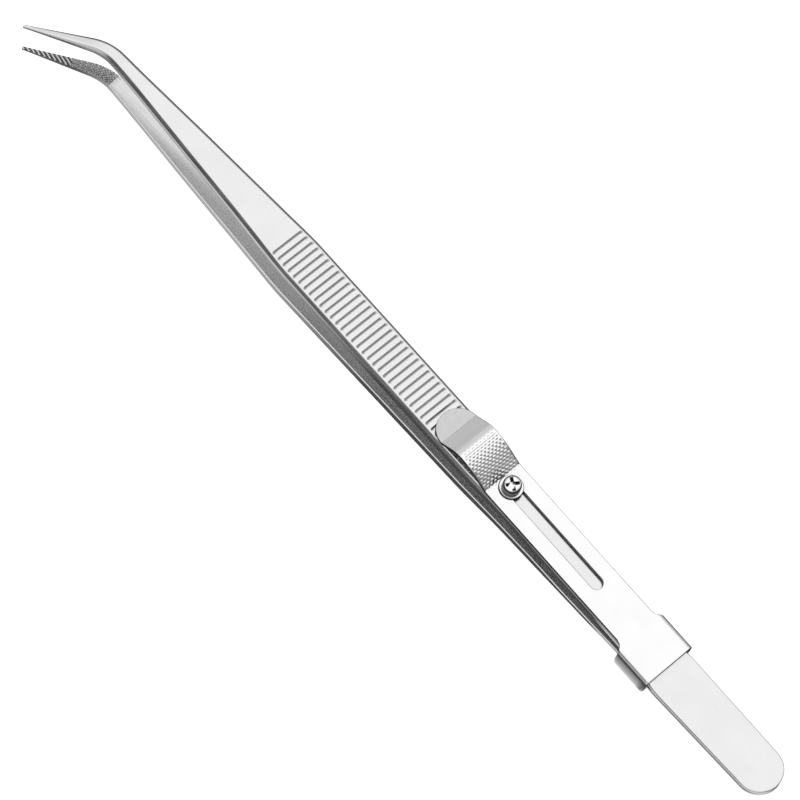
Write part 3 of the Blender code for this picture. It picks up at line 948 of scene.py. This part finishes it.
def floor_material():
    """Pale matt paper, which shows as the brightest of the grey cards in reflections."""
    material, nodes, links = new_material("paper")
    shader = nodes["Principled BSDF"]
    output = nodes["Material Output"]
    shader.inputs["Base Color"].default_value = (PAPER_GREY, PAPER_GREY, PAPER_GREY, 1.0)
    shader.inputs["Roughness"].default_value = 0.9
    shader.inputs["Specular IOR Level"].default_value = 0.1
    shader.inputs["Emission Color"].default_value = (1.0, 1.0, 1.0, 1.0)
    shader.inputs["Emission Strength"].default_value = PAPER_GLOW
    place = nodes.new("ShaderNodeTexCoord")
    split = nodes.new("ShaderNodeSeparateXYZ")
    links.new(place.outputs["Object"], split.inputs["Vector"])
    shades = []
    for levels in FLOOR_CARDS:
        pair = [graded(nodes, links, split.outputs[axis], CARD_REACH[axis], stops)
                for axis, stops in zip("XY", levels)]
        shades.append(vector_node(nodes, links, "MULTIPLY", *pair))
    tone = shades[0]
    for shade in shades[1:]:
        tone = vector_node(nodes, links, "MAXIMUM", tone, shade)
    card = nodes.new("ShaderNodeEmission")
    links.new(tone, card.inputs["Color"])
    path = nodes.new("ShaderNodeLightPath")
    mix = nodes.new("ShaderNodeMixShader")
    links.new(path.outputs["Is Glossy Ray"], mix.inputs["Fac"])
    links.new(shader.outputs["BSDF"], mix.inputs[1])
    links.new(card.outputs["Emission"], mix.inputs[2])
    links.new(mix.outputs["Shader"], output.inputs["Surface"])
    return material


# ---------------------------------------------------------------- set

def make_floor():
    mesh = bmesh.new()
    bmesh.ops.create_grid(mesh, x_segments=1, y_segments=1, size=FLOOR_HALF)
    floor = make_object(mesh, "paper_floor", 30.0, floor_material())
    floor.location = (0.0, 0.0, -FLOOR_DROP)


def make_world():
    """Studio dome: bright overhead, grey low down and past the tips, with black flags."""
    world = bpy.data.worlds.new("studio")
    bpy.context.scene.world = world
    world.use_nodes = True
    nodes = world.node_tree.nodes
    links = world.node_tree.links
    place = nodes.new("ShaderNodeTexCoord")
    split = nodes.new("ShaderNodeSeparateXYZ")
    links.new(place.outputs["Generated"], split.inputs["Vector"])
    tone = vector_node(nodes, links, "MULTIPLY",
                       graded(nodes, links, split.outputs["Z"], 1.0, DOME_HEIGHT),
                       graded(nodes, links, split.outputs["X"], 1.0, DOME_LENGTH))
    for taken, edges in FLAGS:
        sides = [graded(nodes, links, split.outputs[axis], 1.0, stops) for axis, stops in edges]
        flag = sides[0]
        for side in sides[1:]:
            flag = vector_node(nodes, links, "MULTIPLY", flag, side)
        passed = ranged(nodes, links, flag, (0.0, 1.0), (1.0, 1.0 - taken))
        tone = vector_node(nodes, links, "MULTIPLY", tone, passed)
    background = nodes["Background"]
    links.new(tone, background.inputs["Color"])
    background.inputs["Strength"].default_value = DOME_STRENGTH


def make_camera():
    data = bpy.data.cameras.new("camera")
    data.sensor_width = 36.0
    data.lens = CAMERA_LENS
    data.clip_start = 0.01
    data.clip_end = 10.0
    camera = bpy.data.objects.new("camera", data)
    bpy.context.scene.collection.objects.link(camera)
    a, e, roll = (math.radians(v) for v in (CAMERA_AZIMUTH, CAMERA_ELEVATION, CAMERA_ROLL))
    right = Vector((math.cos(a), math.sin(a), 0.0))
    back = Vector((math.sin(a) * math.cos(e), -math.cos(a) * math.cos(e), math.sin(e)))
    up = back.cross(right)
    rolled_right = right * math.cos(roll) + up * math.sin(roll)
    rolled_up = up * math.cos(roll) - right * math.sin(roll)
    camera.matrix_world = Matrix.Translation(CAMERA_TARGET + back * CAMERA_DISTANCE) @ Matrix(
        (rolled_right, rolled_up, back)).transposed().to_4x4()
    bpy.context.scene.camera = camera


satin = brushed_steel("satin_stainless", tone=0.83, roughness=0.18)
bright = brushed_steel("bright_stainless", tone=0.95, roughness=0.15, grain_depth=FINE_GRAIN,
                       grain=DENSE_GRAIN)
# Lip steel: rougher than the sheet, and darker as painted shade on the lip.
lip_shade_steel = brushed_steel("matt_shaded_lip_steel", tone=0.66, roughness=0.30, grain=EVEN_GRAIN)
# Near-black painted shade for the slide's rounded edges, the screw's recess walls and lower head, and the
# washer's walls and underside.
edge_and_recess_shade_steel = brushed_steel("painted_shade_edge_steel", tone=0.09, roughness=0.40, grain=UPRIGHT_GRAIN)
# Grooves: milled finish, with a darker tone that is painted shade in the grooves.
groove_shade_steel = brushed_steel("milled_shaded_groove_steel", tone=0.58, roughness=0.34, grain=CROSS_GRAIN)
inner_steel = brushed_steel("ground_inner_steel", tone=0.78, roughness=0.25, grain_depth=FINE_GRAIN)
teeth_steel = brushed_steel("toothed_steel", tone=0.72, roughness=0.34, grain_depth=COARSE_GRAIN,
                            grain=EVEN_GRAIN)
# Near-black painted shade in the deepest tooth valleys.
tooth_valley_shade_steel = brushed_steel("painted_shade_tooth_valley_steel", tone=0.16, roughness=0.40, grain_depth=COARSE_GRAIN,
                           grain=EVEN_GRAIN)
arm_steels = (satin, groove_shade_steel, inner_steel, teeth_steel, tooth_valley_shade_steel)
make_arm("upper_spring_arm", 1.0, "upper_arm", ("upper_arm", "tail"), *arm_steels)
make_arm("lower_spring_arm", -1.0, "lower_arm", ("lower_arm",), *arm_steels)
make_slide(bright, edge_and_recess_shade_steel, lip_shade_steel)
make_screw(bright, edge_and_recess_shade_steel)
make_washer(bright, edge_and_recess_shade_steel)

make_floor()
make_world()
make_camera()
bpy.context.scene.view_settings.view_transform = "Standard"
